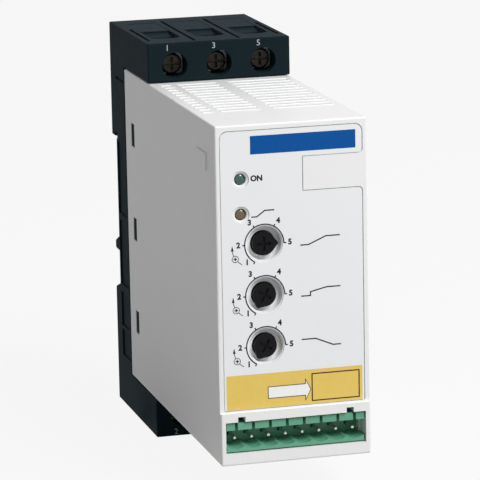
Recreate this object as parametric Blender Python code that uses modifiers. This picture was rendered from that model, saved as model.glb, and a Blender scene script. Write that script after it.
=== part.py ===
"""Compact three-phase soft starter for a 35 mm mounting rail.

A white one-piece cover with louvres is snapped over a black base. The base carries a screw
terminal block above and below the cover, and takes the rail in a recess across its back.

Metres. +X is to the right seen from the front, +Y points back to the rail and +Z up.
The origin is the middle of the 35 mm rail, on the plane that the rail's back lies on.
"""
import math

import bmesh
import bpy
from mathutils import Matrix

# Whole device
WIDTH = 0.045
HEIGHT = 0.124
DEPTH = 0.131
FIT_GAP = 0.0003
CUT_MARGIN = 0.002
POINTS_TOUCH = 0.000001
FLAT_ANGLE = math.radians(0.5)
SMOOTH_ANGLE = math.radians(30)
SHARP_ANGLE = math.radians(40)

# Mounting rail and the recess for it
RAIL_HEIGHT = 0.035
RAIL_RECESS_DEPTH = 0.006
RAIL_ABOVE_MIDDLE = 0.0091
RAIL_HOOK_OVERLAP = 0.001
RAIL_GROOVE_WIDTH = 0.0016
RAIL_RELIEF_DEPTH = 0.001
RECESS_BELOW_RAIL = 0.0139
LOWER_LIP_SLOPE = 0.0022

# Cover
COVER_HEIGHT = 0.0993
COVER_DEPTH = 0.1105
COVER_WALL = 0.0018
COVER_FRONT_WALL = 0.0022
COVER_EDGE_RADIUS = 0.001
LOWER_FRONT_PROUD = 0.001
LOWER_FRONT_HEIGHT = 0.0155
SIDE_PAD_PROUD = 0.0004
SIDE_PAD_LENGTH = 0.0105
SIDE_PAD_HEIGHT = 0.005
SIDE_PAD_FROM_FRONT = 0.0095
SIDE_PAD_BELOW_TOP = 0.0092

# Louvres: rows of slots in the top and the bottom of the cover, in three columns
LOUVRE_ROWS = 12
LOUVRE_PITCH = 0.00455
LOUVRE_SLOT = 0.0022
LOUVRE_FIRST = 0.0028
LOUVRE_COLUMN_SHARES = ((-0.44, -0.369), (-0.322, -0.06), (0.029, 0.436))
LOUVRE_COLUMNS = [(left * WIDTH, right * WIDTH) for left, right in LOUVRE_COLUMN_SHARES]

# Snap fixing of the cover on the base
SNAP_SLOT_WIDTH = 0.0041
SNAP_SLOT_HEIGHT = 0.0073
SNAP_SLOT_FROM_REAR = 0.0078
SNAP_PITCH = 0.0301
SNAP_LUG_DEPTH = 0.0012
COLLAR_WALL = 0.0016
COLLAR_LENGTH = 0.0143

# Label on the front and the recess that it lies in
LABEL_MARGIN_SIDE = 0.0013
LABEL_MARGIN_TOP = 0.0016
LABEL_HEIGHT = 0.0818
LABEL_CORNER_RADIUS = 0.0022
LABEL_LOWER_CORNER_RADIUS = 0.0004
LABEL_RECESS = 0.00045
LABEL_THICKNESS = 0.00025
LABEL_SEAT_GAP = 0.0001
LABEL_EDGE_GAP = 0.00025
LABEL_HOLE_MARGIN = 0.0002
MARKER_PAD_WIDTH = 0.0178
MARKER_PAD_TOP = 0.0103
MARKER_PAD_HEIGHT = 0.0097
MARKER_PAD_RADIUS = 0.0012

# Signal lamps: light pipes that stand on the control board
LAMP_FROM_LEFT = 0.0074
LAMP_FIRST_BELOW_TOP = 0.0158
LAMP_PITCH = 0.0102
LAMP_RADIUS = 0.0015
LAMP_HOLE_RADIUS = 0.0017
LAMP_HOLE_RIM = 0.0003
LAMP_DOME_HEIGHT = 0.0006

# Adjusting knobs, each in a dished well
KNOB_FROM_LEFT = 0.0141
KNOB_FIRST_BELOW_TOP = 0.0349
KNOB_PITCH = 0.015
WELL_RADIUS = 0.0053
WELL_FLOOR_RADIUS = 0.0047
WELL_DEPTH = 0.0022
WELL_FLOOR_THICKNESS = 0.001
WELL_BOSS_WALL = 0.0011
KNOB_RADIUS = 0.0034
KNOB_NOSE_REACH = 0.0043
KNOB_NOSE_TIP_RADIUS = 0.00035
KNOB_RECESS = 0.0006
KNOB_RIM_THICKNESS = 0.0013
KNOB_HOLE_CLEARANCE = 0.0003
KNOB_STEM_RADIUS = 0.0019
KNOB_STEM_LENGTH = 0.0028
KNOB_CROSS_LENGTH = 0.0042
KNOB_CROSS_WIDTH = 0.0008
KNOB_CROSS_DEPTH = 0.0006
KNOB_POINTER_ANGLES = (0, 240, 240)
POT_SIZE = 0.0095

# Plug-in header for the control wires
HEADER_POLES = 8
HEADER_SIDE_MARGIN = 0.00218
HEADER_PITCH = (WIDTH - 2 * HEADER_SIDE_MARGIN) / HEADER_POLES
HEADER_HEIGHT = 0.0085
HEADER_DEPTH = 0.012
HEADER_END_OVERHANG = 0.00035
HEADER_UPPER_WALL = 0.0021
HEADER_LOWER_WALL = 0.0008
HEADER_FLOOR = 0.0035
HEADER_INSET = 0.0007
HEADER_BELOW_COVER_TOP = 0.0911
HEADER_SLOT_WIDTH = 0.0009
HEADER_SLOT_DEPTH = 0.0055
HEADER_RIDGE_WIDTH = 0.0004
HEADER_TROUGH_DEPTH = 0.0007
HEADER_TROUGH_STEPS = 5
HEADER_WINDOW_MARGIN = 0.0004
HEADER_PIN_SIZE = 0.0009
HEADER_PIN_LENGTH = 0.0065
HEADER_PIN_TAIL = 0.0014
HEADER_PIN_CHAMFER = 0.0002
HEADER_NOTCH_FROM_SIDE = 0.0062
HEADER_NOTCH_WIDTH = 0.0022
HEADER_NOTCH_HEIGHT = 0.0015

# Terminal blocks
BLOCK_DEPTH = 0.0518
BLOCK_SIDE_MARGIN = 0.0015
POLE_PITCH = (WIDTH - 2 * BLOCK_SIDE_MARGIN) / 3
POLE_WALL = 0.0047
CHAMBER_WIDTH = POLE_PITCH - POLE_WALL
CHAMBER_FRONT_WALL = 0.004
CHAMBER_LENGTH = 0.0132
CHAMBER_HEIGHT = 0.0077
BLOCK_FLOOR = 0.0011
SCREW_HOLE_RADIUS = 0.004
SCREW_TAIL_ROOM = 0.0055
SCREW_TAIL_RADIUS = 0.0026
CABLE_MOUTH_LENGTH = 0.0052
CABLE_MOUTH_WIDTH = CHAMBER_WIDTH - 0.0007
FUNNEL_DEPTH = 0.0024
FUNNEL_LENGTH = 0.0164
FUNNEL_CORNER_RADIUS = 0.0028
FUNNEL_FROM_FRONT = 0.0094
SHELF_DEPTH = 0.0006
SHELF_LENGTH = 0.0176
GROOVE_WIDTH = 0.001
GROOVE_DEPTH = 0.0045
INNER_GROOVE_LENGTH = 0.0438
INNER_GROOVE_FROM_FRONT = 0.0021
OUTER_GROOVE_LENGTH = 0.026
OUTER_GROOVE_FROM_FRONT = 0.006
OUTER_GROOVE_FROM_SIDE = 0.0021

# Terminal screw, clamp washer and conductor strip of each pole
SCREW_HEAD_RADIUS = 0.0034
SCREW_HEAD_HEIGHT = 0.0024
SCREW_HEAD_FILLET = 0.0007
SCREW_RADIUS = 0.00185
SCREW_LENGTH = 0.0101
SCREW_SLOT_WIDTH = 0.0009
SCREW_SLOT_DEPTH = 0.0012
SCREW_CROSS_REACH = 0.002
SCREW_TIP_CHAMFER = 0.00045
SCREW_CLEARANCE = 0.0003
CLAMP_WIDTH = CHAMBER_WIDTH - 0.0011
CLAMP_HEIGHT = 0.0068
CLAMP_THICKNESS = 0.0012
CLAMP_FLANGE = 0.001
STRIP_THICKNESS = 0.0012
STRIP_WIDTH = CHAMBER_WIDTH - 0.0015
STRIP_BEND_RADIUS = 0.0015
STRIP_DROP = 0.0135

# Base
BACK_WALL = 0.005
BASE_EDGE_RADIUS = 0.0004
SIDE_PANEL_DEPTH = 0.0005
SIDE_PANEL_MARGIN = 0.0014
SIDE_PANEL_SPANS = ((0.0012, 0.0246), (-0.022, -0.0008), (-0.0358, -0.0246), (-0.0458, -0.037))
SIDE_SLOT_HEIGHT = 0.0009
SIDE_SLOT_LENGTH = 0.0104
SIDE_SLOT_ABOVE_MIDDLE = 0.0452

# Rail latch and its spring
LATCH_WIDTH = 0.018
LATCH_THICKNESS = 0.0024
LATCH_TOP_BELOW_RAIL_CENTRE = 0.012
LATCH_PLATE_LENGTH = 0.0165
LATCH_NOSE_DROP = 0.0031
LATCH_NOSE_SLOPE = 0.45
LATCH_NOSE_CHAMFER = 0.0012
LATCH_SIDE_INSET = 0.0003
LATCH_SHOULDER_WIDTH = 0.01
LATCH_SHOULDER_REACH = 0.0045
LATCH_SHOULDER_BELOW_NOSE = 0.0061
LATCH_TRAVEL = 0.003
LATCH_STEM_RADIUS = 0.0014
LATCH_STEM_LENGTH = 0.0085
SPRING_RADIUS = 0.0022
SPRING_WIRE_RADIUS = 0.0003
SPRING_TURNS = 6
SPRING_LENGTH = 0.0134
SPRING_POINTS_PER_TURN = 8

# Boards and the parts on them, inside the cover
BOARD_THICKNESS = 0.0016
BOARD_PART_CHAMFER = 0.0005
DRIVER_BOARD_HEIGHT = 0.078
THYRISTOR_WIDTH = WIDTH - 0.013
THYRISTOR_HEIGHT = 0.022
THYRISTOR_THICKNESS = 0.01
HEATSINK_WIDTH = WIDTH - 0.011
HEATSINK_OVERHANG = 0.0027
HEATSINK_HEIGHT = 2 * (THYRISTOR_HEIGHT + FIT_GAP + HEATSINK_OVERHANG)
HEATSINK_PLATE = 0.004
HEATSINK_FIN_LENGTH = 0.028
HEATSINK_FIN_THICKNESS = 0.0016
HEATSINK_FINS = 7
RELAY_WIDTH = WIDTH - 0.016
RELAY_HEIGHT = 0.0155
RELAY_DEPTH = 0.02
CORE_WIDTH = 0.017
CORE_DEPTH = 0.024
CORE_HEIGHT = 0.026
CAPACITOR_RADIUS = 0.0065
CAPACITOR_LENGTH = 0.0155

# Places worked out from the sizes above
BACK_Y = RAIL_RECESS_DEPTH
FRONT_Y = BACK_Y - DEPTH
COVER_FRONT_Y = FRONT_Y + LOWER_FRONT_PROUD
COVER_REAR_Y = COVER_FRONT_Y + COVER_DEPTH
COVER_INNER_FRONT_Y = COVER_FRONT_Y + COVER_FRONT_WALL
BLOCK_FRONT_Y = BACK_Y - BLOCK_DEPTH
MIDDLE_Z = -RAIL_ABOVE_MIDDLE
TOP_Z = MIDDLE_Z + HEIGHT / 2
BOTTOM_Z = MIDDLE_Z - HEIGHT / 2
COVER_TOP_Z = MIDDLE_Z + COVER_HEIGHT / 2
COVER_BOTTOM_Z = MIDDLE_Z - COVER_HEIGHT / 2
COVER_INNER_X = WIDTH / 2 - COVER_WALL
COVER_INNER_TOP_Z = COVER_TOP_Z - COVER_WALL
COVER_INNER_BOTTOM_Z = COVER_BOTTOM_Z + COVER_WALL
COLLAR_X = COVER_INNER_X - FIT_GAP
COLLAR_TOP_Z = COVER_INNER_TOP_Z - FIT_GAP
COLLAR_BOTTOM_Z = COVER_INNER_BOTTOM_Z + FIT_GAP
BASE_FRONT_Y = COVER_REAR_Y + FIT_GAP
COLLAR_FRONT_Y = BASE_FRONT_Y - COLLAR_LENGTH
LOWER_STEP_Z = COVER_BOTTOM_Z + LOWER_FRONT_HEIGHT
BLOCK_INNER_RISE = COVER_HEIGHT / 2 + FIT_GAP
POLE_XS = (-POLE_PITCH, 0.0, POLE_PITCH)
LAMP_X = LAMP_FROM_LEFT - WIDTH / 2
KNOB_X = KNOB_FROM_LEFT - WIDTH / 2
KNOB_ZS = tuple(COVER_TOP_Z - KNOB_FIRST_BELOW_TOP - KNOB_PITCH * i for i in range(3))
LAMP_ZS = tuple(COVER_TOP_Z - LAMP_FIRST_BELOW_TOP - LAMP_PITCH * i for i in range(2))
HEADER_Z = COVER_TOP_Z - HEADER_BELOW_COVER_TOP
HEADER_WIDTH = HEADER_POLES * HEADER_PITCH + 2 * HEADER_END_OVERHANG
HEADER_FRONT_Y = FRONT_Y + HEADER_INSET
HEADER_BACK_Y = HEADER_FRONT_Y + HEADER_DEPTH
CONTROL_BOARD_Y = HEADER_BACK_Y + FIT_GAP
POWER_BOARD_Y = COLLAR_FRONT_Y - FIT_GAP - BOARD_THICKNESS

# Terminal places are distances above the middle of the device, used upwards and downwards
CHAMBER_RISE = BLOCK_INNER_RISE + BLOCK_FLOOR
SCREW_RISE = CHAMBER_RISE + CHAMBER_HEIGHT / 2
CHAMBER_FRONT_Y = BLOCK_FRONT_Y + CHAMBER_FRONT_WALL
CHAMBER_BACK_Y = CHAMBER_FRONT_Y + CHAMBER_LENGTH
FUNNEL_FRONT_Y = BLOCK_FRONT_Y + FUNNEL_FROM_FRONT
FUNNEL_BACK_Y = FUNNEL_FRONT_Y + FUNNEL_LENGTH
SCREW_HEAD_Y = CHAMBER_FRONT_Y + FIT_GAP
CLAMP_Y = SCREW_HEAD_Y + SCREW_HEAD_HEIGHT + FIT_GAP
STRIP_FACE_Y = FUNNEL_FRONT_Y + FIT_GAP + CABLE_MOUTH_LENGTH
STRIP_RISE = CHAMBER_RISE + FIT_GAP + STRIP_THICKNESS / 2
STRIP_BACK_Y = -BACK_WALL - 2 * FIT_GAP - STRIP_THICKNESS / 2

# Latch places
LATCH_STEP_Z = -RAIL_HEIGHT / 2 - FIT_GAP
LATCH_NOSE_TOP_Z = LATCH_STEP_Z + RAIL_HOOK_OVERLAP + FIT_GAP
LATCH_NOSE_BOTTOM_Z = LATCH_STEP_Z - LATCH_NOSE_DROP
LATCH_SHOULDER_Z = LATCH_NOSE_BOTTOM_Z - LATCH_SHOULDER_BELOW_NOSE
LATCH_STEM_Y = LATCH_SHOULDER_REACH / 2
LOWER_LIP_Z = -RAIL_HEIGHT / 2 - RECESS_BELOW_RAIL
SPRING_TOP_Z = LATCH_SHOULDER_Z - FIT_GAP
SPRING_BORE_RADIUS = SPRING_RADIUS + SPRING_WIRE_RADIUS + FIT_GAP
SPRING_BORE_BOTTOM_Z = SPRING_TOP_Z - SPRING_LENGTH - FIT_GAP

for old in list(bpy.data.objects):
    bpy.data.objects.remove(old, do_unlink=True)

PARTS = bpy.data.collections.new("soft_starter")
CUTTERS = bpy.data.collections.new("soft_starter_cutters")
for collection in (PARTS, CUTTERS):
    bpy.context.scene.collection.children.link(collection)


# Building tools

def plain_material(name, rgb, roughness=0.45, metallic=0.0):
    """A plain Principled material."""
    material = bpy.data.materials.new(name)
    material.use_nodes = True
    shader = material.node_tree.nodes["Principled BSDF"]
    shader.inputs["Base Color"].default_value = (*rgb, 1.0)
    shader.inputs["Roughness"].default_value = roughness
    shader.inputs["Metallic"].default_value = metallic
    return material


def add_object(name, mesh, group, location=(0, 0, 0)):
    """Put a mesh in the scene, as a part or as a cutter."""
    item = bpy.data.objects.new(name, mesh)
    item.location = location
    group.objects.link(item)
    if group is CUTTERS:
        item.hide_render = True
        item.display_type = "WIRE"
    return item


def add_box(name, low, high, group=None):
    """A box between two corners, with its origin in its middle."""
    bm = bmesh.new()
    bmesh.ops.create_cube(bm, size=1.0)
    size = [b - a for a, b in zip(low, high)]
    bmesh.ops.scale(bm, vec=size, verts=bm.verts)
    mesh = bpy.data.meshes.new(name)
    bm.to_mesh(mesh)
    bm.free()
    middle = [(a + b) / 2 for a, b in zip(low, high)]
    return add_object(name, mesh, group or CUTTERS, middle)


def add_rod(name, radius, low, high, axis="Y", segments=24, end_radius=None, group=None):
    """A cylinder, or a cone when end_radius is given, from low to high along one axis."""
    along = "XYZ".index(axis)
    length = high[along] - low[along]
    far_radius = radius if end_radius is None else end_radius
    bm = bmesh.new()
    bmesh.ops.create_cone(bm, cap_ends=True, segments=segments, radius1=radius,
                          radius2=far_radius, depth=length)
    turn = {"X": Matrix.Rotation(math.pi / 2, 3, "Y"),
            "Y": Matrix.Rotation(-math.pi / 2, 3, "X"),
            "Z": Matrix.Identity(3)}[axis]
    bmesh.ops.rotate(bm, cent=(0, 0, 0), matrix=turn, verts=bm.verts)
    mesh = bpy.data.meshes.new(name)
    bm.to_mesh(mesh)
    bm.free()
    middle = [(a + b) / 2 for a, b in zip(low, high)]
    return add_object(name, mesh, group or CUTTERS, middle)


def rounded_corner(before, corner, after, radius, steps=4):
    """Points of the arc that rounds one corner of an outline."""
    bx, by = before[0] - corner[0], before[1] - corner[1]
    ax, ay = after[0] - corner[0], after[1] - corner[1]
    b_length, a_length = math.hypot(bx, by), math.hypot(ax, ay)
    bx, by, ax, ay = bx / b_length, by / b_length, ax / a_length, ay / a_length
    half = math.acos(max(-1.0, min(1.0, bx * ax + by * ay))) / 2
    reach = radius / math.tan(half)
    middle_x, middle_y = bx + ax, by + ay
    m_length = math.hypot(middle_x, middle_y)
    centre = (corner[0] + middle_x / m_length * radius / math.sin(half),
              corner[1] + middle_y / m_length * radius / math.sin(half))
    start = math.atan2(corner[1] + by * reach - centre[1], corner[0] + bx * reach - centre[0])
    end = math.atan2(corner[1] + ay * reach - centre[1], corner[0] + ax * reach - centre[0])
    sweep = (end - start + math.pi) % (2 * math.pi) - math.pi
    angles = [start + sweep * i / steps for i in range(steps + 1)]
    return [(centre[0] + radius * math.cos(a), centre[1] + radius * math.sin(a)) for a in angles]


def rounded(points, radii, closed=True):
    """An outline whose corners are rounded by the radii given, 0 for a sharp one."""
    result = []
    for i, (corner, radius) in enumerate(zip(points, radii)):
        at_end = not closed and i in (0, len(points) - 1)
        if radius == 0 or at_end:
            result.append(corner)
        else:
            before = points[i - 1]
            after = points[(i + 1) % len(points)]
            result.extend(rounded_corner(before, corner, after, radius))
    return result


# Where a drawing plane's first axis, second axis and thickness go
PLANES = {
    "XZ": Matrix(((1, 0, 0), (0, 0, -1), (0, 1, 0))),
    "YZ": Matrix(((0, 0, 1), (1, 0, 0), (0, 1, 0))),
    "XY": Matrix.Identity(3),
}


def add_outline(name, points, plane, low, high, group=None):
    """A flat outline made solid from low to high along the axis that the plane lacks."""
    curve = bpy.data.curves.new(name, "CURVE")
    curve.dimensions = "2D"
    curve.fill_mode = "BOTH"
    curve.extrude = (high - low) / 2
    spline = curve.splines.new("POLY")
    spline.points.add(len(points) - 1)
    for point, (u, v) in zip(spline.points, points):
        point.co = (u, v, 0.0, 1.0)
    spline.use_cyclic_u = True
    drawing = bpy.data.objects.new(name, curve)
    bpy.context.scene.collection.objects.link(drawing)
    graph = bpy.context.evaluated_depsgraph_get()
    mesh = bpy.data.meshes.new_from_object(drawing.evaluated_get(graph))
    bpy.data.objects.remove(drawing, do_unlink=True)
    bpy.data.curves.remove(curve)
    bm = bmesh.new()
    bm.from_mesh(mesh)
    bmesh.ops.remove_doubles(bm, verts=bm.verts, dist=POINTS_TOUCH)
    bmesh.ops.dissolve_limit(bm, angle_limit=FLAT_ANGLE, verts=bm.verts, edges=bm.edges)
    bmesh.ops.rotate(bm, cent=(0, 0, 0), matrix=PLANES[plane], verts=bm.verts)
    bmesh.ops.recalc_face_normals(bm, faces=bm.faces)
    bm.to_mesh(mesh)
    bm.free()
    mesh.name = name
    axis = ({"X", "Y", "Z"} - set(plane)).pop()
    location = [0.0, 0.0, 0.0]
    location["XYZ".index(axis)] = (low + high) / 2
    return add_object(name, mesh, group or CUTTERS, location)


def add_turned(name, profile, steps=24, group=None):
    """A turned piece from a profile of (radius, height), from its top down its outer side."""
    mesh = bpy.data.meshes.new(name)
    edges = [(i, i + 1) for i in range(len(profile) - 1)]
    mesh.from_pydata([(r, 0.0, z) for r, z in profile], edges, [])
    item = add_object(name, mesh, group or CUTTERS)
    screw = item.modifiers.new("turn", "SCREW")
    screw.steps = steps
    screw.render_steps = steps
    screw.use_merge_vertices = True
    screw.merge_threshold = POINTS_TOUCH
    return item


def round_edges(item, radius, segments=2):
    """Round every sharp edge of a piece, before anything is cut in it."""
    bevel = item.modifiers.new("rounded edges", "BEVEL")
    bevel.width = radius
    bevel.segments = segments
    bevel.limit_method = "ANGLE"
    bevel.angle_limit = SHARP_ANGLE


def combine(item, others, operation):
    """Join other solids to a piece, or cut them out of it."""
    group = bpy.data.collections.new(f"{item.name}_{operation.lower()}")
    CUTTERS.children.link(group)
    for other in others:
        CUTTERS.objects.unlink(other)
        group.objects.link(other)
    boolean = item.modifiers.new(operation.lower(), "BOOLEAN")
    boolean.operation = operation
    boolean.operand_type = "COLLECTION"
    boolean.collection = group
    boolean.solver = "EXACT"


def bake(item):
    """Replace a piece's mesh with its finished shape, and remove what cut it."""
    graph = bpy.context.evaluated_depsgraph_get()
    mesh = bpy.data.meshes.new_from_object(item.evaluated_get(graph))
    for modifier in list(item.modifiers):
        if modifier.type == "BOOLEAN":
            for other in list(modifier.collection.objects):
                bpy.data.objects.remove(other, do_unlink=True)
            bpy.data.collections.remove(modifier.collection)
    item.modifiers.clear()
    item.data = mesh
    return mesh


def finish(item, material):
    """Give a piece its material and smooth its round faces."""
    item.data.materials.clear()
    item.data.materials.append(material)
    item.data.shade_smooth()
    item.data.set_sharp_from_angle(angle=SMOOTH_ANGLE)


def above_and_below():
    """The two terminal blocks: a sign, and a function from a rise to a height."""
    for sign in (1, -1):
        yield sign, lambda rise, s=sign: MIDDLE_Z + s * rise


def span(a, b):
    """Two numbers in rising order."""
    return (a, b) if a < b else (b, a)


def mirrored_box(name, xs, ys, rises, height):
    """A box given by its rises above or below the middle of the device."""
    z_low, z_high = span(height(rises[0]), height(rises[1]))
    return add_box(name, (xs[0], ys[0], z_low), (xs[1], ys[1], z_high))


BLACK = plain_material("black_polyamide", (0.020, 0.025, 0.029), 0.5)
WHITE = plain_material("white_polycarbonate", (0.80, 0.81, 0.80), 0.4)
LABEL_WHITE = plain_material("label_film", (0.80, 0.82, 0.83), 0.35)
KNOB_BLACK = plain_material("knob_black", (0.012, 0.012, 0.013), 0.5)
GREEN_PLASTIC = plain_material("header_green", (0.06, 0.28, 0.17), 0.4)
LAMP_GREEN = plain_material("lamp_green", (0.10, 0.30, 0.20), 0.15)
LAMP_AMBER = plain_material("lamp_amber", (0.45, 0.33, 0.08), 0.15)
NICKEL = plain_material("nickel_plated_steel", (0.62, 0.60, 0.57), 0.25, 1.0)
TINNED_COPPER = plain_material("tinned_copper", (0.66, 0.62, 0.58), 0.3, 1.0)
SPRING_STEEL = plain_material("spring_steel", (0.45, 0.45, 0.46), 0.3, 1.0)
BOARD_GREEN = plain_material("board_laminate", (0.03, 0.17, 0.07), 0.45)
ALUMINIUM = plain_material("extruded_aluminium", (0.65, 0.66, 0.67), 0.4, 1.0)
MOULD_GREY = plain_material("moulding_compound", (0.05, 0.05, 0.055), 0.6)
RELAY_BLUE = plain_material("relay_case", (0.04, 0.10, 0.30), 0.4)


# Rear base: one black moulding with the rail recess and both terminal blocks

def base_side_outline():
    """Side view of the base, with the rail recess at its back."""
    inner_top = MIDDLE_Z + BLOCK_INNER_RISE
    inner_bottom = MIDDLE_Z - BLOCK_INNER_RISE
    lip_top = RAIL_HEIGHT / 2 + FIT_GAP
    lip_bottom = RAIL_HEIGHT / 2 - RAIL_HOOK_OVERLAP
    relief_z = lip_bottom - FIT_GAP
    return [
        (BACK_Y, TOP_Z), (BLOCK_FRONT_Y, TOP_Z), (BLOCK_FRONT_Y, inner_top),
        (BASE_FRONT_Y, inner_top), (BASE_FRONT_Y, inner_bottom), (BLOCK_FRONT_Y, inner_bottom),
        (BLOCK_FRONT_Y, BOTTOM_Z), (BACK_Y, BOTTOM_Z),
        (BACK_Y, LOWER_LIP_Z - LOWER_LIP_SLOPE), (0.0, LOWER_LIP_Z),
        (0.0, relief_z), (-RAIL_RELIEF_DEPTH, relief_z), (-RAIL_RELIEF_DEPTH, lip_top),
        (RAIL_GROOVE_WIDTH, lip_top), (RAIL_GROOVE_WIDTH, lip_bottom), (BACK_Y, lip_bottom),
    ]


def snap_lugs():
    """Wedges on the collar that catch in the slots of the cover."""
    lugs = []
    rear = COVER_REAR_Y - SNAP_SLOT_FROM_REAR - FIT_GAP
    front = COVER_REAR_Y - SNAP_SLOT_FROM_REAR - SNAP_SLOT_WIDTH + FIT_GAP
    root_x = COLLAR_X - COLLAR_WALL / 2
    lug_x = COLLAR_X + SNAP_LUG_DEPTH
    half = SNAP_SLOT_HEIGHT / 2 - FIT_GAP
    for side in (1, -1):
        wedge = [(side * root_x, front), (side * COLLAR_X, front),
                 (side * lug_x, front + SNAP_LUG_DEPTH), (side * lug_x, rear),
                 (side * root_x, rear)]
        for row in (-1, 0, 1):
            z = MIDDLE_Z + row * SNAP_PITCH
            lugs.append(add_outline(f"snap_lug_{side}_{row}", wedge, "XY", z - half, z + half))
    return lugs


def terminal_cuts():
    """Everything that is hollow in the two terminal blocks."""
    cuts = []
    funnel_bend = FUNNEL_CORNER_RADIUS
    strip_top = STRIP_RISE + STRIP_THICKNESS / 2 + FIT_GAP
    strip_half = STRIP_WIDTH / 2 + FIT_GAP
    outside = HEIGHT / 2 + CUT_MARGIN
    for _, height in above_and_below():
        for x in POLE_XS:
            half = CHAMBER_WIDTH / 2
            z_low, z_high = span(height(HEIGHT / 2 - FUNNEL_DEPTH), height(outside))
            funnel = rounded(
                [(x - half, FUNNEL_FRONT_Y), (x + half, FUNNEL_FRONT_Y),
                 (x + half, FUNNEL_BACK_Y), (x - half, FUNNEL_BACK_Y)],
                [funnel_bend, funnel_bend, 0, 0])
            cuts.append(add_outline("funnel", funnel, "XY", z_low, z_high))
            cuts.append(mirrored_box(
                "shelf", (x - half, x + half),
                (FUNNEL_BACK_Y - CUT_MARGIN, FUNNEL_BACK_Y + SHELF_LENGTH),
                (HEIGHT / 2 - SHELF_DEPTH, outside), height))
            mouth_half = CABLE_MOUTH_WIDTH / 2
            cuts.append(mirrored_box(
                "cable_mouth", (x - mouth_half, x + mouth_half),
                (FUNNEL_FRONT_Y + FIT_GAP, STRIP_FACE_Y),
                (SCREW_RISE, HEIGHT / 2 - SHELF_DEPTH), height))
            cuts.append(mirrored_box(
                "chamber", (x - half, x + half), (CHAMBER_FRONT_Y, CHAMBER_BACK_Y),
                (CHAMBER_RISE, CHAMBER_RISE + CHAMBER_HEIGHT), height))
            z = height(SCREW_RISE)
            cuts.append(add_rod("screw_access", SCREW_HOLE_RADIUS,
                                (x, BLOCK_FRONT_Y - CUT_MARGIN, z),
                                (x, CHAMBER_FRONT_Y + FIT_GAP, z), segments=28))
            cuts.append(add_rod("screw_tail", SCREW_TAIL_RADIUS,
                                (x, CHAMBER_BACK_Y - FIT_GAP, z),
                                (x, CHAMBER_BACK_Y + SCREW_TAIL_ROOM, z), segments=16))
            cuts.append(mirrored_box(
                "strip_slot", (x - strip_half, x + strip_half),
                (CHAMBER_BACK_Y - FIT_GAP, -BACK_WALL), (CHAMBER_RISE, strip_top), height))
            drop_front = STRIP_BACK_Y - STRIP_THICKNESS / 2 - STRIP_BEND_RADIUS
            cuts.append(mirrored_box(
                "strip_drop", (x - strip_half, x + strip_half), (drop_front, -BACK_WALL),
                (COVER_HEIGHT / 2 - COVER_WALL - COLLAR_WALL - CUT_MARGIN,
                 CHAMBER_RISE + FIT_GAP), height))
        grooves = [(POLE_PITCH / 2, INNER_GROOVE_FROM_FRONT, INNER_GROOVE_LENGTH),
                   (WIDTH / 2 - OUTER_GROOVE_FROM_SIDE, OUTER_GROOVE_FROM_FRONT,
                    OUTER_GROOVE_LENGTH)]
        for groove_x, from_front, length in grooves:
            for side in (1, -1):
                x = side * groove_x
                front = BLOCK_FRONT_Y + from_front
                cuts.append(mirrored_box(
                    "groove", (x - GROOVE_WIDTH / 2, x + GROOVE_WIDTH / 2),
                    (front, front + length), (HEIGHT / 2 - GROOVE_DEPTH, outside), height))
    return cuts


def side_panel_cuts():
    """Shallow panels and a slot in both sides of the base, behind the cover."""
    cuts = []
    front = BASE_FRONT_Y + SIDE_PANEL_MARGIN
    rear = -SIDE_PANEL_MARGIN
    for side in (1, -1):
        face = side * WIDTH / 2
        x_low, x_high = span(face - side * SIDE_PANEL_DEPTH, face + side * CUT_MARGIN)
        for low, high in SIDE_PANEL_SPANS:
            cuts.append(add_box("side_panel", (x_low, front, MIDDLE_Z + low),
                                (x_high, rear, MIDDLE_Z + high)))
        slot_z = MIDDLE_Z + SIDE_SLOT_ABOVE_MIDDLE
        cuts.append(add_box("side_slot", (x_low, front, slot_z - SIDE_SLOT_HEIGHT / 2),
                            (x_high, front + SIDE_SLOT_LENGTH, slot_z + SIDE_SLOT_HEIGHT / 2)))
    return cuts


def latch_cuts():
    """The channel that the latch slides in and the bore for its spring."""
    half = LATCH_WIDTH / 2 + FIT_GAP
    top = -LATCH_TOP_BELOW_RAIL_CENTRE + FIT_GAP
    bottom = -LATCH_TOP_BELOW_RAIL_CENTRE - LATCH_PLATE_LENGTH - LATCH_TRAVEL - FIT_GAP
    channel = add_box("latch_channel", (-half, -LATCH_THICKNESS - 2 * FIT_GAP, bottom),
                      (half, CUT_MARGIN, top))
    bore = add_rod("spring_bore", SPRING_BORE_RADIUS,
                   (0.0, LATCH_STEM_Y, SPRING_BORE_BOTTOM_Z),
                   (0.0, LATCH_STEM_Y, LOWER_LIP_Z + CUT_MARGIN), axis="Z", segments=20)
    return [channel, bore]


def make_base():
    base = add_outline("rear_base", base_side_outline(), "YZ", -WIDTH / 2, WIDTH / 2, PARTS)
    round_edges(base, BASE_EDGE_RADIUS)
    collar = add_box("collar", (-COLLAR_X, COLLAR_FRONT_Y, COLLAR_BOTTOM_Z),
                     (COLLAR_X, BASE_FRONT_Y + CUT_MARGIN, COLLAR_TOP_Z))
    combine(base, [collar] + snap_lugs(), "UNION")
    tray = add_box(
        "tray", (-COLLAR_X + COLLAR_WALL, COLLAR_FRONT_Y - CUT_MARGIN, COLLAR_BOTTOM_Z + COLLAR_WALL),
        (COLLAR_X - COLLAR_WALL, -BACK_WALL, COLLAR_TOP_Z - COLLAR_WALL))
    combine(base, [tray] + terminal_cuts() + side_panel_cuts() + latch_cuts(), "DIFFERENCE")
    finish(base, BLACK)


# Front cover: one white moulding, open at the back

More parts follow.
